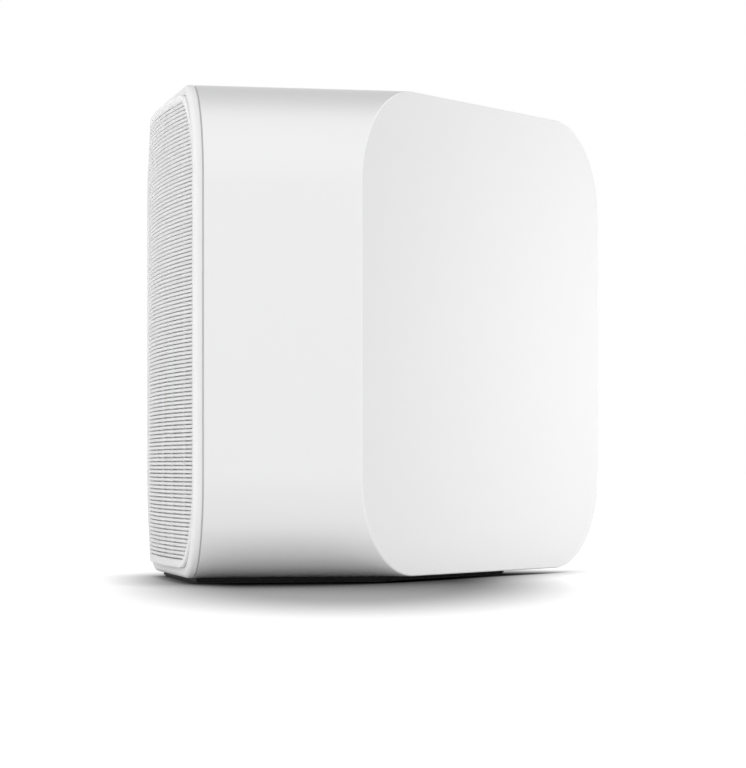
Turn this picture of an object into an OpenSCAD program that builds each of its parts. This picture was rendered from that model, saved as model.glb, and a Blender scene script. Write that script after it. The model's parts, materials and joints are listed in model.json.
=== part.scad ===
// Compact wireless speaker: a rounded sleeve laid on its side, closed at its left end by a
// slotted grille and at its right end by a flat panel set at an angle.
// Origin: middle of the outline, on the surface that the speaker stands on. +Y is the back.

/* [Body] */
// Height of the sleeve above its foot
body_h = 198; // [192:1:204]
// Depth of the sleeve, front face to back face
body_d = 142; // [138:1:150]
// Length of the front face, from the grille's seam to the end panel
front_len = 63.8; // [58:0.2:70]
// Angle between the front face and the end panel
panel_angle = 45; // [44:0.5:46]
// Height of the rounded corners
corner_rise = 40; // [37:1:42]
// Wall of the sleeve
sleeve_wall = 3; // [2.5:0.25:3.5]
// Thickness of the end panel
panel_t = 3; // [2:0.5:4]
// Depth of the moulded frame behind the end panel
end_frame_t = 8; // [7:0.5:9]
// Width of the moulded frame behind the end panel
end_frame_w = 9; // [8:0.5:10]
// Radius of the end panel's posts
post_r = 2; // [1.5:0.25:2.25]
// Length of the end panel's posts
post_len = 6; // [4:0.5:6.5]

/* [Grille] */
// Thickness of the dark ring in the seam
gasket_t = 0.6; // [0.5:0.1:1]
// Depth of the seam below the sleeve's surface
gasket_inset = 0.5; // [0.4:0.1:1.2]
// How far the grille's frame stands out from the seam
rim_proud = 3.4; // [3:0.2:4.4]
// Rounding of the frame's outer edge
rim_round = 1.8; // [1.4:0.2:2.2]
// Width of the frame around the grille
rim_w = 4; // [3.5:0.25:4.25]
// Thickness of the frame's flange under the grille
flange_t = 1.4; // [1:0.1:1.5]
// How far the frame's flange reaches in under the grille
flange_w = 4; // [3:0.5:4.5]
// How far the middle of the grille bulges past its edge
grille_bulge = 4; // [3:0.25:5]
// Wall of the grille
grille_t = 1.4; // [1.1:0.1:1.5]
// Slots in the grille
slot_count = 113; // [90:1:115]
// Height of one slot
slot_h = 0.55; // [0.4:0.05:0.8]
// Distance from the outline to the ends of the slots
slot_margin = 6.2; // [6:0.2:7]
// Distance from the top and bottom of the outline to the outer slots
slot_end_margin = 7.4; // [6.8:0.2:9]
// Angle by which the grille's end is turned from square to the front face
end_turn = 1.3; // [0:0.1:1.6]
// Ribs that stiffen the grille from behind
rib_count = 5; // [3:1:7]
// Width of one rib
rib_w = 1.4; // [1:0.2:2]
// Depth of one rib
rib_t = 0.9; // [0.7:0.1:1.2]
// Thickness of the acoustic cloth
cloth_t = 0.5; // [0.3:0.1:0.6]

/* [Foot] */
// Height of the black foot plate
foot_plate_h = 1.6; // [1.4:0.1:2.2]
// Thickness of the rubber sheet under the foot plate
foot_pad_h = 0.8; // [0.6:0.1:1.4]
// Distance from the front and back faces to the foot
foot_inset = 30; // [29:1:33]
// Distance from the seam to the foot
foot_end_inset = 2; // [1:1:8]
// Distance from the end panel to the foot
foot_panel_inset = 12; // [10:1:15]
// Length of the foot
foot_len = 149; // [140:1:151]
// How far the rubber sheet stays inside the foot plate
foot_pad_inset = 0.6; // [0.4:0.1:1]

/* [Drivers] */
// Distance from the seam to the driver baffle
baffle_x = 6; // [5.6:0.1:6.6]
// Thickness of the driver baffle
baffle_t = 8; // [7:0.5:9]
// Height of the woofer's centre
woofer_z = 68; // [66:1:70]
// Outer radius of the woofer's flange
woofer_r = 52; // [51:0.5:53]
// Radius of the woofer's basket where it passes the baffle
basket_r = 46; // [45.5:0.25:46.5]
// Thickness of the driver flanges
driver_flange_t = 2.5; // [2:0.25:2.5]
// Outer radius of the cone
cone_r = 38; // [37.5:0.25:38]
// Radius of the magnet
magnet_r = 32; // [30:0.5:33]
// Height of the tweeter's centre
tweeter_z = 150; // [149:1:152]
// Outer radius of the tweeter's plate
tweeter_r = 23; // [22:0.5:24]
// Radius of the tweeter's motor
tweeter_motor_r = 18; // [16:0.5:18]
// Radius of the tweeter's dome
dome_r = 12.5; // [12:0.25:12.5]

/* [Connector panel] */
// Distance from the seam to the connector panel
rear_x = 52; // [50:1:54]
// Width of the connector panel
rear_w = 96; // [95:1:98]
// Height of the connector panel
rear_h = 40; // [39:1:42]
// Height of the connector panel's middle
rear_z = 70; // [69:1:72]
// Corner radius of the connector panel
rear_round = 5; // [4:0.5:6]
// Depth of the connector panel below the back face
rear_sunk = 0.6; // [0.4:0.1:0.8]
// Width of the ledge that carries the connector panel
ledge_w = 4; // [3.5:0.25:4.25]
// Thickness of that ledge
ledge_t = 3; // [2.5:0.25:3.5]
// Radius of the push buttons
button_r = 4.5; // [4:0.25:4.75]
// Travel of the push buttons
button_travel = 0.8; // [0.6:0.1:0.8]
// Distance between the push buttons
button_step = 14; // [13.5:0.25:14]

/* [Boards] */
// Thickness of the circuit boards
board_t = 1.6; // [1.2:0.2:1.6]
// Length of the amplifier board
amp_w = 70; // [66:1:72]
// Height of the amplifier board
amp_h = 60; // [58:1:64]
// Distance from the back wall to the amplifier board
amp_gap = 6; // [5:0.5:7]
// Fins of the heat sink
fin_count = 8; // [6:1:9]
// Depth of the fins
fin_d = 12; // [8:1:14]

/* [Hidden] */
$fn = 72;

gap = 0.3;
grille_step = 0.4;
corner_steps = 12;
corner_depth = corner_rise * sin(panel_angle);
foot_h = foot_plate_h + foot_pad_h;
body_len = front_len + body_d / tan(panel_angle);
// the outline runs from the furthest point of the turned grille to the end panel's far corner
bulge_chord = body_d - 2 * rim_w;
bulge_r = (bulge_chord * bulge_chord / 4 + grille_bulge * grille_bulge) / (2 * grille_bulge);
grille_edge = grille_step - gasket_t - rim_proud;
bulge_mid = grille_edge - grille_bulge + bulge_r;
grille_left = bulge_mid * cos(end_turn) + body_d / 2 * sin(end_turn) - bulge_r;
seam_x = -(grille_left + body_len) / 2;
front_y = -body_d / 2;
back_y = body_d / 2;
inner_back_y = back_y - sleeve_wall;
floor_z = foot_h + sleeve_wall;
reach = 2 * (body_len + body_h);
white = "white";

// Rounded oblong of the sleeve, seen along X, with every side moved in by inset
function corner(side_y, side_z, inset) = [
    for (i = [0 : corner_steps])
        let (a = 90 * (side_y * side_z > 0 ? i : corner_steps - i) / corner_steps)
        [
            side_y * (back_y - corner_depth + (corner_depth - inset) * cos(a)),
            side_z * (body_h / 2 - corner_rise + (corner_rise - inset) * sin(a))
        ]
];
function outline(inset) = concat(
    corner(1, 1, inset), corner(-1, 1, inset), corner(-1, -1, inset), corner(1, -1, inset)
);
// Half width of that oblong at a height above its middle
function half_width(z, inset) =
    let (past = abs(z) - (body_h / 2 - corner_rise))
    past <= 0 ? back_y - inset
        : back_y - corner_depth
            + (corner_depth - inset) * sqrt(max(0, 1 - pow(past / (corner_rise - inset), 2)));

module section(inset = 0) {
    translate([0, foot_h + body_h / 2]) polygon(outline(inset));
}

// Runs a shape along X, from a distance past the seam, over a length
module along(from, len) {
    translate([seam_x + from, 0, 0]) rotate([90, 0, 90]) linear_extrude(len) children();
}

// Turns the grille's end about the front edge of its seam
module turned() {
    translate([seam_x, front_y, 0]) rotate([0, 0, -end_turn]) translate([-seam_x, -front_y, 0])
        children();
}

// Space outside the end panel's face, moved in by depth
module past_panel(depth) {
    translate([seam_x + front_len, front_y, 0])
        rotate([0, 0, panel_angle])
            translate([-reach, -reach, -reach]) cube([2 * reach, reach + depth, 2 * reach]);
}

// Layer of the sleeve's section that lies between two depths behind the end panel's face
module end_layer(from, to, inset) {
    intersection() {
        difference() {
            along(0, body_len + 1) section(inset);
            past_panel(from);
        }
        past_panel(to);
    }
}

// Turns a shape drawn around Z into one around X, at a height, with its zero at the seam
module on_driver_axis(z) {
    translate([seam_x, 0, z]) rotate([0, 90, 0]) children();
}

// Round bar along Y between two places
module bar_y(x, z, from, to, r) {
    translate([seam_x + x, from, z]) rotate([-90, 0, 0]) cylinder(h = to - from, r = r);
}

// Oblong with round corners in X and Z, between two places along Y
module plate_y(x, z, w, h, r, from, to) {
    translate([seam_x + x, to, z]) rotate([90, 0, 0]) linear_extrude(to - from) rounded(w, h, r);
}

module rounded(w, h, r) {
    square([w - 2 * r, h], center = true);
    square([w, h - 2 * r], center = true);
    for (x = [-1, 1], y = [-1, 1])
        translate([x * (w / 2 - r), y * (h / 2 - r)]) circle(r);
}

// Sleeve
foot_screw_places = [[22, -28], [22, 28], [74, -28], [130, 30]];
screw_r = 1.5;
screw_hole_r = 1.7;
thread_hole_r = 1.55;
boss_r = 4;
boss_top = floor_z + 8;
rear_mid = rear_x + rear_w / 2;

module sleeve() {
    color(white) difference() {
        union() {
            difference() {
                along(-2, body_len + 3) section();
                along(-3, body_len + 5) section(sleeve_wall);
            }
            plate_y(rear_mid, rear_z, rear_w + 2 * ledge_w, rear_h + 2 * ledge_w, rear_round + ledge_w,
                inner_back_y - ledge_t, inner_back_y + 1);
            for (p = foot_screw_places)
                translate([seam_x + p[0], p[1], foot_h + 1])
                    cylinder(h = boss_top - foot_h - 1, r = boss_r);
        }
        past_panel(panel_t);
        turned() translate([seam_x - 50, -reach / 2, -1]) cube([50, reach, body_h + 20]);
        plate_y(rear_mid, rear_z, rear_w, rear_h, rear_round, inner_back_y, back_y + 1);
        plate_y(rear_mid, rear_z, rear_w - 2 * ledge_w, rear_h - 2 * ledge_w, rear_round - ledge_w / 2,
            inner_back_y - ledge_t - 1, inner_back_y + 1);
        for (p = foot_screw_places)
            translate([seam_x + p[0], p[1], foot_h - 1])
                cylinder(h = boss_top - foot_h, r = thread_hole_r);
        panel_screw_holes(thread_hole_r, inner_back_y - ledge_t - 1, inner_back_y + 1);
    }
}

// End panel
panel_w = body_d / sin(panel_angle);
post_edge = sleeve_wall + gap + end_frame_w / 2;
post_places = [
    [0.3 * panel_w, foot_h + post_edge],
    [0.7 * panel_w, foot_h + post_edge],
    [0.3 * panel_w, foot_h + body_h - post_edge],
    [0.7 * panel_w, foot_h + body_h - post_edge],
    [post_edge / sin(panel_angle), foot_h + body_h / 2]
];

module panel_posts(r, from, to) {
    translate([seam_x + front_len, front_y, 0]) rotate([0, 0, panel_angle])
        for (p = post_places)
            translate([p[0], from, p[1]]) rotate([-90, 0, 0]) cylinder(h = to - from, r = r);
}

module end_panel() {
    color(white) union() {
        end_layer(0, panel_t, 0);
        panel_posts(post_r, panel_t - 0.5, panel_t + post_len);
    }
}

module end_frame() {
    color("dimgray") difference() {
        end_layer(panel_t, panel_t + end_frame_t, sleeve_wall + gap);
        end_layer(panel_t - 1, panel_t + end_frame_t + 1, sleeve_wall + gap + end_frame_w);
        panel_posts(post_r + gap / 2, panel_t - 1, panel_t + end_frame_t + 1);
    }
}

module wadding() {
    color("gainsboro") intersection() {
        end_layer(panel_t + end_frame_t + gap, panel_t + end_frame_t + 12, sleeve_wall + 1.5);
        translate([0, 0, boss_top + body_h / 2 + 2]) cube([reach, reach, body_h], center = true);
    }
}

// Grille end, where x counts from the seam towards the sleeve
frame_back = -gasket_t;
frame_face = -gasket_t - rim_proud;
bulge_steps = 12;
slot_top = body_h / 2 - slot_end_margin;
slot_pitch = (2 * slot_top - slot_h) / (slot_count - 1);

module seam_gasket() {
    color([0.2, 0.2, 0.2]) turned() difference() {
        along(-gasket_t, gasket_t) section(gasket_inset);
        along(-gasket_t - 1, gasket_t + 2) section(sleeve_wall);
    }
}

// Slice of the frame's rounded edge, where a runs from its side to its face
module rim_slice(a) {
    along(frame_face + rim_round * (1 - sin(a)), 0.5) section(rim_round * (1 - cos(a)));
}

module grille_frame() {
    color(white) turned() difference() {
        hull() {
            along(frame_back - 0.5, 0.5) section();
            rim_slice(0);
            rim_slice(22.5);
            rim_slice(45);
            rim_slice(67.5);
            rim_slice(90);
        }
        along(frame_face - 1, rim_proud + 1 - flange_t) section(rim_w);
        along(frame_face - 1, rim_proud + 2) section(rim_w + flange_w);
    }
}

// Curved layer between two depths behind the grille's outer face, cut to the outline
module bulged(from, to, inset) {
    half = asin(body_d / 2 / bulge_r);
    mid = [seam_x + bulge_mid, 0];
    intersection() {
        translate([0, 0, foot_h - 1]) linear_extrude(body_h + 2) polygon(concat(
            arc(bulge_r - from, mid, 180 - half, 180 + half, bulge_steps),
            arc(bulge_r - to, mid, 180 + half, 180 - half, bulge_steps)
        ));
        along(grille_edge - grille_bulge - 1, grille_bulge + 12) section(inset);
    }
}

module grille() {
    mid_z = foot_h + body_h / 2;
    color(white) turned() union() {
        difference() {
            bulged(0, grille_t, rim_w + gap / 2);
            for (i = [0 : slot_count - 1]) {
                z = -slot_top + i * slot_pitch;
                y = half_width(abs(z + slot_h / 2), slot_margin);
                translate([seam_x - 20, -y, mid_z + z]) cube([25, 2 * y, slot_h]);
            }
        }
        // wall that joins the curved face to the frame's flange
        intersection() {
            bulged(0.5, grille_bulge + 5, rim_w + gap / 2);
            along(grille_edge - grille_bulge - 1, frame_back - flange_t - grille_edge + grille_bulge + 0.8)
                difference() {
                    section(rim_w + gap / 2);
                    section(rim_w + gap / 2 + 1.5);
                }
        }
        intersection() {
            bulged(grille_t - 0.4, grille_t + rib_t, rim_w + flange_w + gap);
            for (i = [1 : rib_count])
                translate([seam_x - 20, front_y + i * body_d / (rib_count + 1) - rib_w / 2, foot_h])
                    cube([30, rib_w, body_h]);
        }
    }
}

module grille_cloth() {
    color("silver") turned()
        bulged(grille_t + rib_t + 0.1, grille_t + rib_t + 0.1 + cloth_t, rim_w + flange_w + gap);
}

// Drivers
baffle_back = baffle_x + baffle_t;
flange_x = baffle_x - driver_flange_t;
basket_back = baffle_back + 30.5;
basket_wall = 2;
coil_r = 13.4;
coil_wall = 0.8;
pole_r = 12;
pole_gap = 0.8;
plate_h = 4;
magnet_back = basket_back + 16.5;
woofer_screws = [45, 135, 225, 315];
woofer_screw_r = woofer_r - 3;
tweeter_screw_r = tweeter_r - 2.7;

module baffle() {
    color("tan") difference() {
        along(baffle_x, baffle_t) section(sleeve_wall + gap);
        on_driver_axis(woofer_z) cylinder(h = baffle_back + 1, r = basket_r + gap);
        on_driver_axis(tweeter_z) cylinder(h = baffle_back + 1, r = tweeter_motor_r + gap);
        screw_bars(thread_hole_r, baffle_x - 1, baffle_back - 1);
    }
}

// Bars at the places of the driver screws
module screw_bars(r, from, to) {
    for (a = woofer_screws) {
        on_driver_axis(woofer_z) rotate([0, 0, a]) translate([woofer_screw_r, 0, from])
            cylinder(h = to - from, r = r);
        on_driver_axis(tweeter_z) rotate([0, 0, a]) translate([tweeter_screw_r, 0, from])
            cylinder(h = to - from, r = r);
    }
}

module driver_screws() {
    color([0.25, 0.25, 0.25]) union() {
        screw_bars(screw_r, flange_x - 0.5, baffle_back - 1.5);
        screw_bars(screw_r + 1, flange_x - 1.2, flange_x);
    }
}

module woofer_basket() {
    neck = coil_r + 5;
    seat_r = magnet_r + 1;
    color("gray") difference() {
        on_driver_axis(woofer_z) rotate_extrude() polygon([
            [basket_r - basket_wall, flange_x], [woofer_r, flange_x], [woofer_r, baffle_x],
            [basket_r, baffle_x], [basket_r, baffle_back + 3], [seat_r, basket_back - 2],
            [seat_r, basket_back], [neck, basket_back], [neck, basket_back - basket_wall],
            [seat_r - basket_wall, basket_back - basket_wall],
            [basket_r - basket_wall, baffle_back + 3]
        ]);
        on_driver_axis(woofer_z) for (a = [0 : 60 : 300])
            rotate([0, 0, a]) translate([neck + 6, -8, baffle_back + 6])
                cube([woofer_r, 16, basket_back - baffle_back - 12]);
        screw_bars(screw_hole_r, flange_x - 1, baffle_x + 1);
    }
}

module woofer_magnet() {
    color("dimgray") on_driver_axis(woofer_z) rotate_extrude() polygon([
        [0, basket_back], [pole_r, basket_back], [pole_r, magnet_back - plate_h],
        [coil_r + 4, magnet_back - plate_h], [coil_r + 4, basket_back + plate_h],
        [coil_r + pole_gap, basket_back + plate_h], [coil_r + pole_gap, basket_back],
        [magnet_r, basket_back], [magnet_r, magnet_back], [0, magnet_back]
    ]);
}

// Points of an arc in the plane of radius and depth
function arc(r, mid, from, to, steps) = [
    for (i = [0 : steps]) let (a = from + (to - from) * i / steps) mid + r * [cos(a), sin(a)]
];

module woofer_surround() {
    roll_in = cone_r + gap;
    roll_out = basket_r - basket_wall + 0.2;
    roll_r = (roll_out - roll_in) / 2;
    mid = [roll_in + roll_r, flange_x];
    wall = 0.7;
    color([0.15, 0.15, 0.15]) on_driver_axis(woofer_z) rotate_extrude() polygon(concat(
        arc(roll_r, mid, -180, -15, 10),
        [[woofer_screw_r - 3, flange_x - wall], [woofer_screw_r - 3, flange_x]],
        arc(roll_r - wall, mid, 0, -180, 10)
    ));
}

module woofer_spider() {
    rim = basket_r - basket_wall - 8;
    hub = coil_r + 0.4;
    wave_x = baffle_back + 18;
    steps = 24;
    thick = 0.6;
    wave = [for (i = [0 : steps]) [hub + (rim - hub) * i / steps, wave_x + 0.8 * sin(i * 60)]];
    color("goldenrod") on_driver_axis(woofer_z) rotate_extrude() polygon(concat(
        wave,
        [for (i = [steps : -1 : 0]) wave[i] + [0, thick]]
    ));
}

cone_neck_x = baffle_x + 16;
cone_wall = 1.2;
module woofer_cone() {
    neck = coil_r + 0.1;
    color([0.3, 0.3, 0.3]) on_driver_axis(woofer_z) rotate_extrude() polygon([
        [neck, cone_neck_x], [cone_r, baffle_x - 0.6], [cone_r, baffle_x - 0.6 + cone_wall],
        [neck, cone_neck_x + cone_wall]
    ]);
}

module dust_cap() {
    cap_r = coil_r + 0.6;
    rise = 4;
    ball = (cap_r * cap_r + rise * rise) / (2 * rise);
    half = asin(cap_r / ball);
    mid = [0, cone_neck_x - 0.9 - rise + ball];
    color([0.2, 0.2, 0.2]) on_driver_axis(woofer_z) rotate_extrude() polygon(concat(
        arc(ball, mid, -90, -90 + half, 10),
        arc(ball - 0.7, mid, -90 + half, -90, 10)
    ));
}

module voice_coil() {
    color("peru") on_driver_axis(woofer_z) translate([0, 0, cone_neck_x + 0.1]) difference() {
        cylinder(h = basket_back + 7 - cone_neck_x, r = coil_r);
        translate([0, 0, -1]) cylinder(h = basket_back + 9 - cone_neck_x, r = coil_r - coil_wall);
    }
}

module tweeter_plate() {
    color("gray") difference() {
        on_driver_axis(tweeter_z) translate([0, 0, flange_x]) difference() {
            cylinder(h = driver_flange_t, r = tweeter_r);
            translate([0, 0, -1]) cylinder(h = driver_flange_t + 2, r = dome_r + 1);
        }
        screw_bars(screw_hole_r, flange_x - 1, baffle_x + 1);
    }
}

module tweeter_dome() {
    rise = 4;
    ball = (dome_r * dome_r + rise * rise) / (2 * rise);
    half = asin(dome_r / ball);
    mid = [0, baffle_x - 0.8 - rise + ball];
    color([0.2, 0.2, 0.2]) on_driver_axis(tweeter_z) rotate_extrude() polygon(concat(
        arc(ball, mid, -90, -90 + half, 10),
        [[dome_r, baffle_x], [dome_r - 0.8, baffle_x]],
        arc(ball - 0.6, mid, -90 + half - 3, -90, 10)
    ));
}

module tweeter_motor() {
    color("dimgray") on_driver_axis(tweeter_z)
        translate([0, 0, baffle_x]) cylinder(h = baffle_t + 12, r = tweeter_motor_r);
}

// Boards
amp_x = 70;
amp_z = 96;
amp_back_y = inner_back_y - amp_gap;
amp_face_y = amp_back_y - board_t;
post_in = 5;
standoff_r = 2.5;
power_x = 66;
power_y = 5;
power_w = 52;
power_d = 50;
power_z = floor_z + 7;
control_x = 86.5;
control_w = 55;
control_z = rear_z - rear_h / 2 - 2;
control_h = rear_h + 4;
control_face_y = inner_back_y - 7.4;

module board_y(x, z, w, h, from, to) {
    translate([seam_x + x, from, z]) cube([w, to - from, h]);
}

module amplifier_board() {
    color("darkgreen") difference() {
        board_y(amp_x, amp_z, amp_w, amp_h, amp_face_y, amp_back_y);
        for (x = [post_in, amp_w - post_in], z = [post_in, amp_h - post_in])
            bar_y(amp_x + x, amp_z + z, amp_face_y - 1, amp_back_y + 1, screw_r);
    }
}

module heat_sink() {
    sink_w = 50;
    sink_h = 34;
    base = 3;
    fin_t = 1.5;
    step = (sink_w - fin_t) / (fin_count - 1);
    color("silver") translate([seam_x + amp_x + 10, amp_face_y, amp_z + 10]) union() {
        translate([0, -base, 0]) cube([sink_w, base, sink_h]);
        for (i = [0 : fin_count - 1])
            translate([i * step, -base - fin_d, 0]) cube([fin_t, fin_d + 0.5, sink_h]);
    }
}

module radio_module() {
    color("lightgray") board_y(amp_x + 8, amp_z + amp_h - 13, 22, 9, amp_face_y - 2.5, amp_face_y);
}

module antenna() {
    color("gold") board_y(amp_x + 32, amp_z + amp_h - 10, 28, 5, amp_face_y - 0.8, amp_face_y);
}

module power_board() {
    color("darkgreen") difference() {
        translate([seam_x + power_x, power_y, power_z]) cube([power_w, power_d, board_t]);
        power_posts(power_z - 1, power_z + board_t + 1, screw_r);
    }
}

module power_posts(from, to, r) {
    for (x = [post_in, power_w - post_in], y = [post_in, power_d - 15])
        translate([seam_x + power_x + x, power_y + y, from]) cylinder(h = to - from, r = r);
}

module transformer() {
    color("orange") union() {
        translate([seam_x + power_x + 8, power_y + 9, power_z + board_t]) cube([32, 20, 20]);
        translate([seam_x + power_x + 13, power_y + 7, power_z + board_t + 3]) cube([22, 24, 14]);
    }
}

module board_standoffs() {
    color("silver") union() {
        intersection() {
            for (x = [post_in, amp_w - post_in], z = [post_in, amp_h - post_in])
                bar_y(amp_x + x, amp_z + z, amp_back_y, inner_back_y, standoff_r);
            along(amp_x, amp_w) section(sleeve_wall);
        }
        power_posts(floor_z, power_z, standoff_r);
        for (x = [4, control_w - 4], z = [2.5, control_h - 2.5])
            bar_y(control_x + x, control_z + z, control_face_y, inner_back_y - ledge_t, 2);
    }
}

module control_board() {
    color("darkgreen")
        board_y(control_x, control_z, control_w, control_h, control_face_y - board_t, control_face_y);
}

// Connector panel
button_x = [for (i = [0 : 3]) rear_x + 42 + i * button_step];
panel_back_y = inner_back_y;
panel_face_y = back_y - rear_sunk;
inlet_x = rear_x + 14;
line_x = rear_x + 29;
inlet_w = 19;
inlet_h = 12.6;
inlet_depth = 20;
inlet_mouth_w = 15;
inlet_mouth_h = 8.6;
inlet_mouth_d = 15;
line_r = 4;

module panel_screw_holes(r, from, to) {
    for (x = [-1, 1], z = [-1, 1])
        bar_y(rear_mid + x * (rear_w / 2 - 3.4), rear_z + z * (rear_h / 2 - 3.4), from, to, r);
}

module connector_panel() {
    color([0.12, 0.12, 0.12]) difference() {
        plate_y(rear_mid, rear_z, rear_w - 2 * gap, rear_h - 2 * gap, rear_round - gap,
            panel_back_y, panel_face_y);
        for (x = button_x)
            bar_y(x, rear_z, panel_back_y - 1, panel_face_y + 1, button_r + gap);
        bar_y(line_x, rear_z, panel_back_y - 1, panel_face_y + 1, line_r + 0.1);
        plate_y(inlet_x, rear_z, inlet_w + 0.2, inlet_h + 0.2, 2.1, panel_back_y - 1, panel_face_y + 1);
        panel_screw_holes(screw_hole_r, panel_back_y - 1, panel_face_y + 1);
    }
}

module panel_screws() {
    color([0.2, 0.2, 0.2]) union() {
        panel_screw_holes(screw_r, panel_back_y - ledge_t + 0.3, panel_face_y + 0.1);
        panel_screw_holes(screw_r + 1, panel_face_y, panel_face_y + 0.5);
    }
}

module mains_inlet() {
    color([0.08, 0.08, 0.08]) difference() {
        plate_y(inlet_x, rear_z, inlet_w, inlet_h, 2, panel_face_y - inlet_depth, panel_face_y);
        plate_y(inlet_x, rear_z, inlet_mouth_w, inlet_mouth_h, inlet_mouth_h / 2 - 0.1,
            panel_face_y - inlet_mouth_d, panel_face_y + 1);
    }
}

module inlet_pins() {
    color("silver") for (x = [-4.3, 4.3])
        bar_y(inlet_x + x, rear_z, panel_face_y - inlet_mouth_d, panel_face_y - 4, 1.15);
}

module line_socket() {
    color([0.1, 0.1, 0.1]) difference() {
        bar_y(line_x, rear_z, panel_face_y - 12, panel_face_y, line_r);
        bar_y(line_x, rear_z, panel_face_y - 10.5, panel_face_y + 1, 1.8);
    }
}

// One push button, with a flange that keeps it behind the connector panel
module push_button(x) {
    head_y = back_y - 0.1;
    flange_y = panel_back_y - gap;
    color([0.2, 0.2, 0.2]) difference() {
        union() {
            bar_y(x, rear_z, flange_y - 0.5, head_y, button_r);
            bar_y(x, rear_z, flange_y - 1.2, flange_y, button_r + 1.4);
            bar_y(x, rear_z, flange_y - 3.7, flange_y - 1, 1.5);
        }
        translate([seam_x + x, head_y + 14.7, rear_z]) sphere(15, $fn = 96);
    }
}

module power_button() { push_button(button_x[0]); }
module pairing_button() { push_button(button_x[1]); }
module volume_down_button() { push_button(button_x[2]); }
module volume_up_button() { push_button(button_x[3]); }

module tact_switches() {
    plunger = panel_back_y - gap - 3.7 - button_travel - 0.2;
    color([0.15, 0.15, 0.15]) for (x = button_x) union() {
        board_y(x - 3, rear_z - 3, 6, 6, control_face_y, plunger - 0.5);
        bar_y(x, rear_z, plunger - 0.8, plunger, 1.4);
    }
}

// Foot
module foot_outline(inset) {
    offset_y = front_y + foot_inset + inset;
    // where the foot's slanted side crosses its front edge
    slant_x = front_len - (foot_panel_inset + inset) / sin(panel_angle)
        + (offset_y - front_y) / tan(panel_angle);
    left = foot_end_inset + inset;
    translate([seam_x, 0]) difference() {
        translate([left, offset_y]) square([foot_len - 2 * inset, -2 * offset_y]);
        translate([slant_x, offset_y]) rotate(panel_angle)
            translate([-reach, -reach]) square([2 * reach, reach]);
    }
}

module foot_plate() {
    color([0.03, 0.03, 0.03]) difference() {
        translate([0, 0, foot_pad_h]) linear_extrude(foot_plate_h) foot_outline(0);
        for (p = foot_screw_places) translate([seam_x + p[0], p[1], foot_pad_h]) {
            translate([0, 0, -1]) cylinder(h = foot_plate_h + 2, r = screw_hole_r);
            translate([0, 0, -0.01]) cylinder(h = foot_plate_h * 0.6, r = 3.2);
        }
    }
}

module foot_screws() {
    color("gray") for (p = foot_screw_places) translate([seam_x + p[0], p[1], foot_pad_h]) union() {
        cylinder(h = boss_top - foot_pad_h - 2, r = screw_r);
        cylinder(h = foot_plate_h * 0.6 - 0.01, r = 3);
    }
}

module foot_pad() {
    color([0.05, 0.05, 0.05]) linear_extrude(foot_pad_h) foot_outline(foot_pad_inset);
}

sleeve();
end_panel();
end_frame();
seam_gasket();
grille_frame();
grille();
grille_cloth();
baffle();
woofer_basket();
woofer_magnet();
woofer_surround();
woofer_spider();
woofer_cone();
dust_cap();
voice_coil();
tweeter_plate();
tweeter_dome();
tweeter_motor();
driver_screws();
wadding();
amplifier_board();
heat_sink();
radio_module();
antenna();
power_board();
transformer();
board_standoffs();
control_board();
tact_switches();
connector_panel();
panel_screws();
mains_inlet();
inlet_pins();
line_socket();
power_button();
pairing_button();
volume_down_button();
volume_up_button();
foot_plate();
foot_screws();
foot_pad();
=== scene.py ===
import bpy
import bmesh
import json
import math
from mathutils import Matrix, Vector


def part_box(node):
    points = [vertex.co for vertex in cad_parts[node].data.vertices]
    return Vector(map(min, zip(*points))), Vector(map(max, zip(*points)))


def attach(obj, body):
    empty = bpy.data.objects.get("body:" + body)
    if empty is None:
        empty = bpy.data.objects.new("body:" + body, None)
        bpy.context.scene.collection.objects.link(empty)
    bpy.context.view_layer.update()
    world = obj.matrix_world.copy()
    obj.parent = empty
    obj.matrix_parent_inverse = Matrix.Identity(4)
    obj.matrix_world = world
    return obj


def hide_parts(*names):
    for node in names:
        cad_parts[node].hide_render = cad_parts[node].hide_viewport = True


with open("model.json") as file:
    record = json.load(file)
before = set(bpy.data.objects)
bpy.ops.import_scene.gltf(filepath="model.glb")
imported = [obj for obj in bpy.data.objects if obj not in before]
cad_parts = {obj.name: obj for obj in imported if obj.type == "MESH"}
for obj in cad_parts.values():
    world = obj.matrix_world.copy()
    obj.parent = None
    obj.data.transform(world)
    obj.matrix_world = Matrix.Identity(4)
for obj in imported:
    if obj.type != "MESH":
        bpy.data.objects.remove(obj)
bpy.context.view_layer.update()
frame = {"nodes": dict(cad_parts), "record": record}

bodyOf = {n: b for b, names in frame["record"]["behaviour"]["bodies"].items() for n in names}
slotOf = {s["node"]: s["material_slot"] for s in frame["record"]["subparts"]}
print("frame loaded:", len(frame["nodes"]), "pieces")

sharpFrom = 38  # degrees between two faces from which their edge counts as sharp
alongFrom = 1e-4  # metres between an edge's ends from which it counts as running that way


def pick(o):
    if bpy.context.object and bpy.context.object.mode != "OBJECT":
        bpy.ops.object.mode_set(mode="OBJECT")
    bpy.ops.object.select_all(action="DESELECT")
    o.select_set(True)
    bpy.context.view_layer.objects.active = o


def openMesh(o):  # into edit mode, with all of the mesh selected
    pick(o)
    bpy.ops.object.mode_set(mode="EDIT")
    bpy.ops.mesh.select_all(action="SELECT")


def closeMesh():
    bpy.ops.object.mode_set(mode="OBJECT")


def pickEdges(wanted):  # in edit mode, by the two ends of an edge
    bpy.ops.mesh.select_mode(type="EDGE")
    bpy.ops.mesh.select_all(action="DESELECT")
    mesh = bmesh.from_edit_mesh(bpy.context.object.data)
    for e in mesh.edges:
        if wanted(e.verts[0].co, e.verts[1].co):
            e.select_set(True)
    bmesh.update_edit_mesh(bpy.context.object.data)


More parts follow.
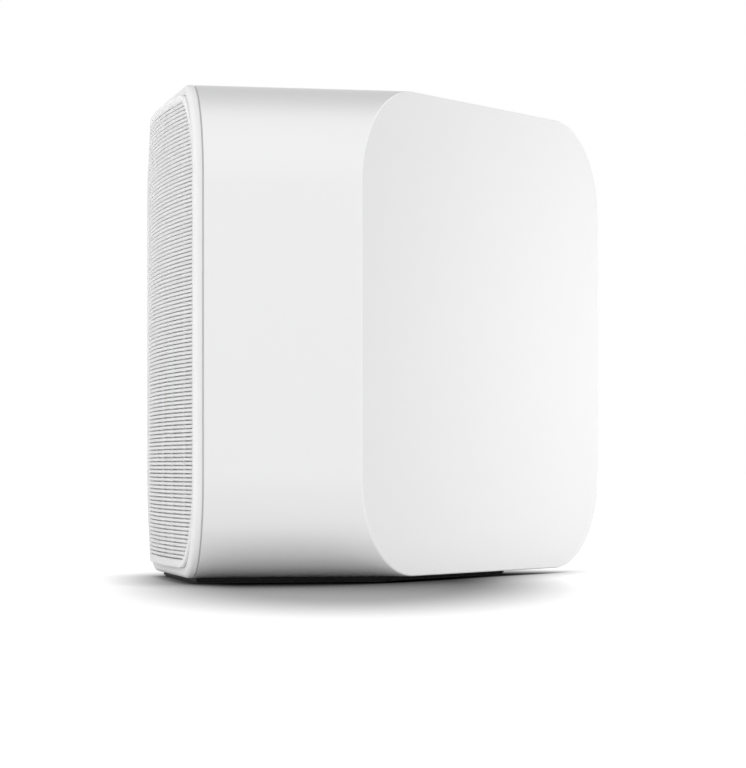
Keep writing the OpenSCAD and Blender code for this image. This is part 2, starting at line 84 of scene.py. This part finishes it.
def pickEdgesAlong(way):  # 0, 1 or 2 for X, Y or Z
    pickEdges(lambda a, b: abs(a[way] - b[way]) > alongFrom)


def roundPicked(width, steps):
    bpy.ops.mesh.bevel(offset=width, segments=steps, affect="EDGES", clamp_overlap=False)


def keepShape(o):  # place, turn and size go into the mesh
    pick(o)
    bpy.ops.object.transform_apply(location=True, rotation=True, scale=True)


def addBlock(centre, size, turn=0.0):
    bpy.ops.object.select_all(action="DESELECT")
    bpy.ops.mesh.primitive_cube_add(size=1, location=centre, rotation=(0, 0, turn), scale=size)
    block = bpy.context.object
    keepShape(block)
    return block


def sliceOff(o, point, outward):  # takes off what lies beyond a flat cut
    openMesh(o)
    bpy.ops.mesh.bisect(
        plane_co=point, plane_no=outward, use_fill=True, clear_outer=True, clear_inner=False
    )
    closeMesh()


def combine(o, tool, way):  # UNION adds the tool's shape, DIFFERENCE cuts it out
    pick(o)
    cut = o.modifiers.new("cut", "BOOLEAN")
    cut.operation = way
    cut.solver = "EXACT"
    cut.object = tool
    bpy.ops.object.modifier_apply(modifier="cut")
    bpy.data.objects.remove(tool)


def roundEdges(o, width, steps, angle=sharpFrom):
    pick(o)
    edge = o.modifiers.new("edge", "BEVEL")
    edge.width = width
    edge.segments = steps
    edge.limit_method = "ANGLE"
    edge.angle_limit = math.radians(angle)
    bpy.ops.object.modifier_apply(modifier="edge")


def smoothFaces(o):
    pick(o)
    bpy.ops.object.shade_smooth_by_angle(angle=math.radians(sharpFrom))
    even = o.modifiers.new("even", "WEIGHTED_NORMAL")
    even.keep_sharp = True
    bpy.ops.object.modifier_apply(modifier="even")


def standIn(o, node, finish):  # the new piece takes the CAD piece's place
    o.name = node + "Looks"
    o.data.materials.clear()
    o.data.materials.append(finish)
    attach(o, bodyOf[node])
    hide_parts(node)


grain = dict(driftScale=22, driftDetail=3, grainDetail=2, bumpReach=0.0002)
weave = dict(waver=0.4, bumpDepth=0.5, bumpReach=0.0001)


def newGroup(name, inputs, outputs):
    group = bpy.data.node_groups.new(name, "ShaderNodeTree")
    for label, kind, value in inputs:
        socket = group.interface.new_socket(label, in_out="INPUT", socket_type=kind)
        socket.default_value = value
    for label, kind in outputs:
        group.interface.new_socket(label, in_out="OUTPUT", socket_type=kind)
    return group, group.nodes.new("NodeGroupInput"), group.nodes.new("NodeGroupOutput")


def mouldedSurface():  # slow drift of tone and sheen, with a fine grain
    tree, start, end = newGroup(
        "mouldedSurface",
        [
            ("Tone", "NodeSocketColor", (0.8, 0.8, 0.8, 1)),
            ("Tone Drift", "NodeSocketFloat", 0.02),
            ("Sheen", "NodeSocketFloat", 0.4),
            ("Sheen Drift", "NodeSocketFloat", 0.05),
            ("Grain Size", "NodeSocketFloat", 900.0),
            ("Grain Depth", "NodeSocketFloat", 0.05),
        ],
        [("Tone", "NodeSocketColor"), ("Sheen", "NodeSocketFloat"), ("Normal", "NodeSocketVector")],
    )
    link = tree.links.new
    place = tree.nodes.new("ShaderNodeTexCoord")
    drift = tree.nodes.new("ShaderNodeTexNoise")
    drift.inputs["Scale"].default_value = grain["driftScale"]
    drift.inputs["Detail"].default_value = grain["driftDetail"]
    link(place.outputs["Object"], drift.inputs["Vector"])
    fine = tree.nodes.new("ShaderNodeTexNoise")
    fine.inputs["Detail"].default_value = grain["grainDetail"]
    link(place.outputs["Object"], fine.inputs["Vector"])
    link(start.outputs["Grain Size"], fine.inputs["Scale"])
    offset = tree.nodes.new("ShaderNodeMath")  # the drift goes as far up as down
    offset.operation = "SUBTRACT"
    offset.inputs[1].default_value = 0.5
    link(drift.outputs["Fac"], offset.inputs[0])
    toneBy = tree.nodes.new("ShaderNodeMath")
    toneBy.operation = "MULTIPLY_ADD"
    toneBy.inputs[2].default_value = 1
    link(offset.outputs[0], toneBy.inputs[0])
    link(start.outputs["Tone Drift"], toneBy.inputs[1])
    tone = tree.nodes.new("ShaderNodeVectorMath")
    tone.operation = "SCALE"
    link(start.outputs["Tone"], tone.inputs[0])
    link(toneBy.outputs[0], tone.inputs["Scale"])
    sheen = tree.nodes.new("ShaderNodeMath")
    sheen.operation = "MULTIPLY_ADD"
    link(offset.outputs[0], sheen.inputs[0])
    link(start.outputs["Sheen Drift"], sheen.inputs[1])
    link(start.outputs["Sheen"], sheen.inputs[2])
    bump = tree.nodes.new("ShaderNodeBump")
    bump.inputs["Distance"].default_value = grain["bumpReach"]
    link(start.outputs["Grain Depth"], bump.inputs["Strength"])
    link(fine.outputs["Fac"], bump.inputs["Height"])
    link(tone.outputs[0], end.inputs["Tone"])
    link(sheen.outputs[0], end.inputs["Sheen"])
    link(bump.outputs["Normal"], end.inputs["Normal"])
    return tree


def wovenThreads():  # two sets of threads that cross
    tree, start, end = newGroup(
        "wovenThreads",
        [
            ("Thread", "NodeSocketColor", (0.8, 0.8, 0.8, 1)),
            ("Gap", "NodeSocketColor", (0.3, 0.3, 0.3, 1)),
            ("Pitch", "NodeSocketFloat", 600.0),
        ],
        [("Tone", "NodeSocketColor"), ("Height", "NodeSocketFloat")],
    )
    link = tree.links.new
    place = tree.nodes.new("ShaderNodeTexCoord")
    waves = []
    for way in ("Y", "Z"):
        wave = tree.nodes.new("ShaderNodeTexWave")
        wave.bands_direction = way
        wave.inputs["Distortion"].default_value = weave["waver"]
        link(place.outputs["Object"], wave.inputs["Vector"])
        link(start.outputs["Pitch"], wave.inputs["Scale"])
        waves.append(wave)
    both = tree.nodes.new("ShaderNodeMath")
    both.operation = "MULTIPLY"
    link(waves[0].outputs["Fac"], both.inputs[0])
    link(waves[1].outputs["Fac"], both.inputs[1])
    mix = tree.nodes.new("ShaderNodeMix")
    mix.data_type = "RGBA"
    link(both.outputs[0], mix.inputs["Factor"])
    link(start.outputs["Gap"], mix.inputs["A"])
    link(start.outputs["Thread"], mix.inputs["B"])
    link(mix.outputs["Result"], end.inputs["Tone"])
    link(both.outputs[0], end.inputs["Height"])
    return tree


surfaceGroup = mouldedSurface()
threadGroup = wovenThreads()

# what a finish has where it doesn't say otherwise, glowReach is in metres
plainLook = dict(toneDrift=0.012, sheenDrift=0.06, metal=0, coat=0, coatSheen=0.25, glowReach=0.004)

finishes = {
    "sleeve_paint": dict(
        tone=(0.875, 0.875, 0.877), toneDrift=0.008, sheen=0.33, grainSize=1400, grainDepth=0.02,
        metal=0.55,
    ),
    "panel_gloss": dict(
        tone=(0.67, 0.67, 0.672), toneDrift=0.008, sheen=0.42, grainSize=1700, grainDepth=0.012,
    ),
    "white_plastic": dict(
        tone=(0.8, 0.8, 0.8), sheen=0.5, grainSize=1600, grainDepth=0.03, glow=0.3,
    ),
    "grille_white": dict(
        tone=(0.955, 0.955, 0.955), sheen=0.55, grainSize=1600, grainDepth=0.03, glow=0.9,
    ),
    "dark_plastic": dict(
        tone=(0.025, 0.025, 0.026), toneDrift=0.2, sheen=0.5, grainSize=1500, grainDepth=0.2,
    ),
    "seal_rubber": dict(
        tone=(0.02, 0.02, 0.02), toneDrift=0.3, sheen=0.75, grainSize=900, grainDepth=0.2,
    ),
    "acoustic_cloth": dict(
        thread=(0.93, 0.93, 0.93), gap=(0.78, 0.78, 0.78), pitch=700, sheen=0.9,
    ),
    "baffle_board": dict(
        tone=(0.42, 0.3, 0.18), toneDrift=0.5, sheen=0.7, grainSize=500, grainDepth=0.4,
    ),
    "driver_steel": dict(
        tone=(0.05, 0.05, 0.055), toneDrift=0.2, sheen=0.4, grainSize=800, grainDepth=0.1,
    ),
    "spider_cloth": dict(
        thread=(0.62, 0.42, 0.12), gap=(0.3, 0.18, 0.04), pitch=500, sheen=0.8,
    ),
    "cone_paper": dict(
        tone=(0.04, 0.04, 0.042), toneDrift=0.4, sheen=0.65, grainSize=350, grainDepth=0.4,
    ),
    "copper_wire": dict(
        tone=(0.75, 0.33, 0.17), toneDrift=0.2, sheen=0.3, grainSize=700, grainDepth=0.3, metal=1,
    ),
    "screw_steel": dict(
        tone=(0.45, 0.45, 0.46), toneDrift=0.15, sheen=0.35, grainSize=900, grainDepth=0.1, metal=1,
    ),
    "wadding_fibre": dict(
        thread=(0.85, 0.85, 0.83), gap=(0.6, 0.6, 0.58), pitch=90, sheen=0.95,
    ),
    "circuit_board": dict(
        tone=(0.02, 0.16, 0.06), toneDrift=0.4, sheen=0.3, grainSize=420, grainDepth=0.2, coat=0.5,
    ),
    "bare_aluminium": dict(
        tone=(0.72, 0.72, 0.73), toneDrift=0.1, sheen=0.35, grainSize=700, grainDepth=0.2, metal=1,
    ),
    "transformer_tape": dict(
        tone=(0.65, 0.43, 0.06), toneDrift=0.3, sheen=0.4, grainSize=300, grainDepth=0.2,
    ),
    "pin_steel": dict(
        tone=(0.75, 0.74, 0.7), toneDrift=0.1, sheen=0.18, grainSize=900, grainDepth=0.04, metal=1,
    ),
    "button_plastic": dict(
        tone=(0.06, 0.06, 0.062), toneDrift=0.2, sheen=0.42, grainSize=1500, grainDepth=0.15,
    ),
    "seam_seal": dict(
        tone=(0.58, 0.58, 0.58), toneDrift=0.1, sheen=0.8, grainSize=900, grainDepth=0.1,
    ),
    "foot_plastic": dict(
        tone=(0.006, 0.006, 0.006), toneDrift=0.3, sheen=0.6, grainSize=1200, grainDepth=0.2,
    ),
}


def makeFinish(name, look):
    look = {**plainLook, **look}
    finish = bpy.data.materials.new(name)
    finish.use_nodes = True
    tree = finish.node_tree
    link = tree.links.new
    shader = tree.nodes["Principled BSDF"]
    if "thread" in look:
        threads = tree.nodes.new("ShaderNodeGroup")
        threads.node_tree = threadGroup
        threads.inputs["Thread"].default_value = (*look["thread"], 1)
        threads.inputs["Gap"].default_value = (*look["gap"], 1)
        threads.inputs["Pitch"].default_value = look["pitch"]
        bump = tree.nodes.new("ShaderNodeBump")
        bump.inputs["Strength"].default_value = weave["bumpDepth"]
        bump.inputs["Distance"].default_value = weave["bumpReach"]
        link(threads.outputs["Tone"], shader.inputs["Base Color"])
        link(threads.outputs["Height"], bump.inputs["Height"])
        link(bump.outputs["Normal"], shader.inputs["Normal"])
        shader.inputs["Roughness"].default_value = look["sheen"]
        return finish
    surface = tree.nodes.new("ShaderNodeGroup")
    surface.node_tree = surfaceGroup
    surface.inputs["Tone"].default_value = (*look["tone"], 1)
    surface.inputs["Tone Drift"].default_value = look["toneDrift"]
    surface.inputs["Sheen"].default_value = look["sheen"]
    surface.inputs["Sheen Drift"].default_value = look["sheenDrift"]
    surface.inputs["Grain Size"].default_value = look["grainSize"]
    surface.inputs["Grain Depth"].default_value = look["grainDepth"]
    link(surface.outputs["Tone"], shader.inputs["Base Color"])
    link(surface.outputs["Sheen"], shader.inputs["Roughness"])
    link(surface.outputs["Normal"], shader.inputs["Normal"])
    shader.inputs["Metallic"].default_value = look["metal"]
    shader.inputs["Coat Weight"].default_value = look["coat"]
    shader.inputs["Coat Roughness"].default_value = look["coatSheen"]
    if "glow" in look:  # light that seeps through thin white plastic
        shader.inputs["Subsurface Weight"].default_value = look["glow"]
        shader.inputs["Subsurface Radius"].default_value = (1, 1, 1)
        shader.inputs["Subsurface Scale"].default_value = look["glowReach"]
    return finish


finishOf = {name: makeFinish(name, look) for name, look in finishes.items()}
for node, o in frame["nodes"].items():
    o.data.materials.clear()
    o.data.materials.append(finishOf[slotOf[node]])
print("finishes made:", len(finishOf))

# a span runs along X from the seam, longer than the body, as its ends are cut off later
sleeve = dict(
    frontLength=0.0638,
    endTurn=1.3,  # degrees from square at the grille's end
    cornerRise=0.040,  # height of the rounded corners, their depth follows the slant
    cornerSteps=40,
    wall=0.003,
    outerSpan=(-0.005, 0.23),
    innerSpan=(-0.01, 0.24),
    edge=0.00035,
    edgeSteps=2,
)
endPanel = dict(
    slant=45,  # degrees from the front face
    depth=0.003,
    span=(-0.05, 0.23),
    edge=0.0006,
    edgeSteps=4,
    faceLimit=0.97,  # faces turned further from the front are painted with the sleeve
    cutterSize=(1, 0.5, 0.6),
)
lowest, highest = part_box("sleeve")
seamX = lowest.x
bodyDepth = highest.y - lowest.y
bodyHeight = highest.z - lowest.z
midZ = (highest.z + lowest.z) / 2
seamCorner = Vector((seamX, -bodyDepth / 2, 0))
endTurn = math.radians(sleeve["endTurn"])
slant = math.radians(endPanel["slant"])
slantFrom = Vector((seamX + sleeve["frontLength"], -bodyDepth / 2, 0))
slantOut = Vector((math.sin(slant), -math.cos(slant), 0))


def roundedBar(x0, x1, inset=0.0):  # solid bar along X with the sleeve's section
    rise = sleeve["cornerRise"] - inset
    squeeze = (sleeve["cornerRise"] * math.sin(slant) - inset) / rise
    bar = addBlock(
        ((x0 + x1) / 2, 0, midZ),
        (x1 - x0, (bodyDepth - 2 * inset) / squeeze, bodyHeight - 2 * inset),
    )
    openMesh(bar)
    pickEdgesAlong(0)
    roundPicked(rise, sleeve["cornerSteps"])
    bpy.ops.mesh.select_all(action="SELECT")
    bpy.ops.transform.resize(value=(1, squeeze, 1), center_override=(0, 0, midZ))
    closeMesh()
    return bar


def barFor(span, inset=0.0):
    return roundedBar(seamX + span[0], seamX + span[1], inset)


def slantBlock(depth):  # everything outside a plane parallel to the end panel
    centre = slantFrom + slantOut * (endPanel["cutterSize"][1] / 2 - depth)
    return addBlock((centre.x, centre.y, midZ), endPanel["cutterSize"], slant)


# opening in the back for the connector panel, which rests on a ledge behind the wall
opening = dict(
    ledge=0.004,
    ledgeDepth=0.003,
    ledgeLap=0.001,  # how far the ledge reaches into the wall
    corner=0.005,
    cornerSteps=10,
    clearance=0.0003,
    wallCut=0.02,
    ledgeCut=0.03,
)
panelLow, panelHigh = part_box("connector_panel")


def openingBlock(centre, size, corner):  # block with its four edges along Y rounded
    block = addBlock(centre, size)
    openMesh(block)
    pickEdgesAlong(1)
    roundPicked(corner, opening["cornerSteps"])
    closeMesh()
    return block


def makeSleeve():
    shell = barFor(sleeve["outerSpan"])
    sliceOff(shell, seamCorner, (-math.cos(endTurn), math.sin(endTurn), 0))  # a little off square
    combine(shell, barFor(sleeve["innerSpan"], sleeve["wall"]), "DIFFERENCE")
    mid = (panelLow + panelHigh) / 2
    wide = panelHigh.x - panelLow.x + 2 * opening["clearance"]
    tall = panelHigh.z - panelLow.z + 2 * opening["clearance"]
    innerY = bodyDepth / 2 - sleeve["wall"]
    edge, lap = opening["ledge"], opening["ledgeLap"]
    combine(shell, openingBlock(
        (mid.x, innerY - opening["ledgeDepth"] / 2 + lap / 2, mid.z),
        (wide + 2 * edge, opening["ledgeDepth"] + lap, tall + 2 * edge),
        opening["corner"] + edge,
    ), "UNION")
    combine(shell, openingBlock(
        (mid.x, innerY + opening["wallCut"] / 2, mid.z),
        (wide, opening["wallCut"], tall),
        opening["corner"],
    ), "DIFFERENCE")
    combine(shell, openingBlock(
        (mid.x, innerY, mid.z),
        (wide - 2 * edge, opening["ledgeCut"], tall - 2 * edge),
        opening["corner"] - edge / 2,
    ), "DIFFERENCE")
    roundEdges(shell, sleeve["edge"], sleeve["edgeSteps"])
    # cut last, as the joint to the end panel stays sharp and no line shows there
    combine(shell, slantBlock(endPanel["depth"]), "DIFFERENCE")
    smoothFaces(shell)
    return shell


standIn(makeSleeve(), "sleeve", finishOf["sleeve_paint"])
print("sleeve made")


def makeEndPanel():
    slab = barFor(endPanel["span"])
    sliceOff(slab, slantFrom, slantOut)
    roundEdges(slab, endPanel["edge"], endPanel["edgeSteps"])
    sliceOff(slab, slantFrom - slantOut * endPanel["depth"], -slantOut)
    smoothFaces(slab)
    return slab


panel = makeEndPanel()
standIn(panel, "end_panel", finishOf["panel_gloss"])
panel.data.materials.append(finishOf["sleeve_paint"])
for face in panel.data.polygons:
    if face.normal.dot(slantOut) < endPanel["faceLimit"]:
        face.material_index = 1
print("end panel made")

grilleEnd = dict(
    sealDepth=0.0006,
    rimDepth=0.0034,
    rimWidth=0.004,
    rimRound=0.0018,
    rimSteps=10,
    flangeDepth=0.0014,
    flangeWidth=0.004,
    cutPast=0.01,  # how far the cuts reach past the frame
    frontWithin=1e-5,  # metres from the front within which an edge counts as on it
    edge=0.00018,
    edgeSteps=2,
    edgeAngle=50,
)


def makeGrilleFrame():
    back = seamX - grilleEnd["sealDepth"]
    front = back - grilleEnd["rimDepth"]
    ring = roundedBar(front, back)
    openMesh(ring)
    pickEdges(lambda a, b: max(a.x, b.x) < front + grilleEnd["frontWithin"])
    roundPicked(grilleEnd["rimRound"], grilleEnd["rimSteps"])
    closeMesh()
    rim, past = grilleEnd["rimWidth"], grilleEnd["cutPast"]
    combine(ring, roundedBar(front - past, back - grilleEnd["flangeDepth"], rim), "DIFFERENCE")
    combine(ring, roundedBar(front - past, back + past, rim + grilleEnd["flangeWidth"]), "DIFFERENCE")
    openMesh(ring)
    bpy.ops.transform.rotate(value=endTurn, orient_axis="Z", center_override=seamCorner)
    closeMesh()
    roundEdges(ring, grilleEnd["edge"], grilleEnd["edgeSteps"], grilleEnd["edgeAngle"])
    smoothFaces(ring)
    return ring


standIn(makeGrilleFrame(), "grille_frame", finishOf["white_plastic"])
print("grille frame made")

# edge: width of the softened edges in metres, 0 leaves them sharp
keptPieces = {
    "grille": dict(edge=0.00014, steps=2, finish="grille_white"),
    "foot_plate": dict(edge=0.0003, steps=2),
    "foot_pad": dict(edge=0.0002, steps=2),
    "connector_panel": dict(edge=0.0003, steps=2),
    "mains_inlet": dict(edge=0.0003, steps=2),
    "inlet_pins": dict(edge=0.0003, steps=2),
    "line_socket": dict(edge=0.0003, steps=2),
    "power_button": dict(edge=0.0003, steps=3),
    "pairing_button": dict(edge=0.0003, steps=3),
    "volume_down_button": dict(edge=0.0003, steps=3),
    "volume_up_button": dict(edge=0.0003, steps=3),
    "panel_screws": dict(edge=0.0002, steps=2),
    "seam_gasket": dict(edge=0, steps=0, finish="seam_seal"),
}
cleaning = dict(weldWithin=0.000004, flatWithin=0.3)  # metres and degrees


def refine(node, edge, steps, finish=None):  # a copy of the CAD piece with softened edges
    pick(frame["nodes"][node])
    bpy.ops.object.duplicate()
    piece = bpy.context.object
    piece.parent = None
    for key in list(piece.keys()):
        if key.startswith("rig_"):
            del piece[key]
    openMesh(piece)
    bpy.ops.mesh.remove_doubles(threshold=cleaning["weldWithin"])
    bpy.ops.mesh.dissolve_limited(angle_limit=math.radians(cleaning["flatWithin"]))
    closeMesh()
    if edge:
        roundEdges(piece, edge, steps)
    smoothFaces(piece)
    standIn(piece, node, finishOf[finish or slotOf[node]])


for node, values in keptPieces.items():
    refine(node, **values)
print("kept pieces refined:", len(keptPieces))

studio = dict(
    floorSize=30,
    floorTone=0.88,
    paintedContactReach=0.035,  # painted contact shadow beside the foot, which the sleeve reflects
    paintedContactPower=0.7,
    shadowReach=0.42,
    shadowPower=2.5,
    shadowTone=0.41,
    shadowRays=16,
    shadowCentre=(-0.039, -0.06, 0),  # painted wide shadow, which lies in an oval in front of the foot
    shadowSpan=(0.112, 0.35, 1),
    shadowFade=0.62,
    shadowTurn=13,
    floorLift=0.4,  # takes the open floor up to white for the camera
    airSeen=1.0,
    airLevel=0.945,  # light from the walls of the studio
    airAbove=0.5,  # light from overhead and behind
    aboveWay=(0, 0.45, 0.9),
    aboveFrom=0.6,
)


def makeFloor():
    bpy.ops.object.select_all(action="DESELECT")
    bpy.ops.mesh.primitive_plane_add(size=studio["floorSize"], location=(0, 0, 0))
    floor = bpy.context.object
    floor.name = "floor"
    paper = bpy.data.materials.new("studioPaper")
    paper.use_nodes = True
    tree = paper.node_tree
    link = tree.links.new
    shader = tree.nodes["Principled BSDF"]
    shader.inputs["Roughness"].default_value = 1
    shader.inputs["Specular IOR Level"].default_value = 0
    shader.inputs["Emission Color"].default_value = (1, 1, 1, 1)

    def calculate(way, first, second):
        step = tree.nodes.new("ShaderNodeMath")
        step.operation = way
        for socket, value in zip(step.inputs, (first, second)):
            if isinstance(value, (int, float)):
                socket.default_value = value
            else:
                link(value, socket)
        return step.outputs[0]

    def openness(reach, power):  # one in the open, less beside the object: painted shade from ambient occlusion
        nook = tree.nodes.new("ShaderNodeAmbientOcclusion")
        nook.inputs["Distance"].default_value = reach
        nook.samples = studio["shadowRays"]
        return calculate("POWER", nook.outputs["AO"], power)

    place = tree.nodes.new("ShaderNodeTexCoord")
    oval = tree.nodes.new("ShaderNodeMapping")
    oval.vector_type = "TEXTURE"
    oval.inputs["Location"].default_value = studio["shadowCentre"]
    oval.inputs["Rotation"].default_value = (0, 0, -math.radians(studio["shadowTurn"]))
    oval.inputs["Scale"].default_value = studio["shadowSpan"]
    link(place.outputs["Object"], oval.inputs["Vector"])
    ball = tree.nodes.new("ShaderNodeTexGradient")
    ball.gradient_type = "SPHERICAL"
    link(oval.outputs["Vector"], ball.inputs["Vector"])
    inside = tree.nodes.new("ShaderNodeMapRange")
    inside.interpolation_type = "SMOOTHSTEP"
    inside.inputs["From Max"].default_value = studio["shadowFade"]
    link(ball.outputs["Fac"], inside.inputs["Value"])
    paintedContact = openness(studio["paintedContactReach"], studio["paintedContactPower"])
    wide = tree.nodes.new("ShaderNodeMix")
    wide.inputs["A"].default_value = 1
    link(inside.outputs["Result"], wide.inputs["Factor"])
    soft = openness(studio["shadowReach"], studio["shadowPower"])
    link(calculate("MULTIPLY", soft, studio["shadowTone"]), wide.inputs["B"])
    rays = tree.nodes.new("ShaderNodeLightPath")
    shade = tree.nodes.new("ShaderNodeMix")
    link(rays.outputs["Is Camera Ray"], shade.inputs["Factor"])
    link(paintedContact, shade.inputs["A"])
    link(calculate("MULTIPLY", paintedContact, wide.outputs["Result"]), shade.inputs["B"])
    # painted shadow: the floor's colour, and its glow to the camera, are darkened near the object and in
    # the oval
    link(calculate("MULTIPLY", shade.outputs["Result"], studio["floorTone"]), shader.inputs["Base Color"])
    seen = calculate("MULTIPLY", rays.outputs["Is Camera Ray"], shade.outputs["Result"])
    link(calculate("MULTIPLY", seen, studio["floorLift"]), shader.inputs["Emission Strength"])
    floor.data.materials.append(paper)


def makeAir():  # bright walls, darker overhead and behind, and white to the camera
    world = bpy.data.worlds.new("studioAir")
    world.use_nodes = True
    tree = world.node_tree
    link = tree.links.new
    back = tree.nodes["Background"]
    back.inputs["Color"].default_value = (1, 1, 1, 1)
    rays = tree.nodes.new("ShaderNodeLightPath")
    way = tree.nodes.new("ShaderNodeTexCoord")
    facing = tree.nodes.new("ShaderNodeVectorMath")
    facing.operation = "DOT_PRODUCT"
    facing.inputs[1].default_value = studio["aboveWay"]
    link(way.outputs["Generated"], facing.inputs[0])
    level = tree.nodes.new("ShaderNodeMapRange")
    level.interpolation_type = "SMOOTHSTEP"
    level.inputs["From Min"].default_value = studio["aboveFrom"]
    level.inputs["From Max"].default_value = 1
    level.inputs["To Min"].default_value = studio["airLevel"]
    level.inputs["To Max"].default_value = studio["airAbove"]
    link(facing.outputs["Value"], level.inputs["Value"])
    strength = tree.nodes.new("ShaderNodeMix")
    strength.inputs["B"].default_value = studio["airSeen"]
    link(level.outputs["Result"], strength.inputs["A"])
    link(rays.outputs["Is Camera Ray"], strength.inputs["Factor"])
    link(strength.outputs["Result"], back.inputs["Strength"])
    bpy.context.scene.world = world


lamps = {
    "leftBox": dict(place=(-1.5, -1.4, 0.25), aim=(0, 0, 0.08), wide=1.0, watts=14),
    "rightBox": dict(place=(0.42, -0.12, 0.04), aim=(0.09, 0.06, 0.05), wide=0.22, watts=1.1),
}


def makeLamp(name, place, aim, wide, watts):
    bpy.ops.object.light_add(type="AREA", location=place)
    lamp = bpy.context.object
    lamp.name = name
    lamp.data.shape = "SQUARE"
    lamp.data.size = wide
    lamp.data.energy = watts
    lamp.visible_glossy = False  # its light, but no patch of glare
    lamp.rotation_euler = (Vector(aim) - Vector(place)).to_track_quat("-Z", "Y").to_euler()


view = dict(
    fromSeam=(-0.2058, -1.187),  # from the front lower corner of the seam
    height=0.047,
    turn=13.0,
    focalPixels=3060,
    horizonDrop=83,
    imageWide=746,
    sensorWide=36,
    near=0.01,
    far=100,
)


def makeCamera():
    bpy.ops.object.camera_add()
    camera = bpy.context.object
    camera.name = "photoCamera"
    camera.location = (seamX + view["fromSeam"][0], -bodyDepth / 2 + view["fromSeam"][1], view["height"])
    camera.rotation_euler = (math.radians(90), 0, math.radians(-view["turn"]))
    camera.data.sensor_fit = "HORIZONTAL"
    camera.data.sensor_width = view["sensorWide"]
    camera.data.lens = view["sensorWide"] * view["focalPixels"] / view["imageWide"]
    camera.data.shift_y = view["horizonDrop"] / view["imageWide"]
    camera.data.clip_start = view["near"]
    camera.data.clip_end = view["far"]
    bpy.context.scene.camera = camera


makeFloor()
makeAir()
for name, values in lamps.items():
    makeLamp(name, **values)
makeCamera()
bpy.context.scene.view_settings.view_transform = "Standard"
print("studio set")
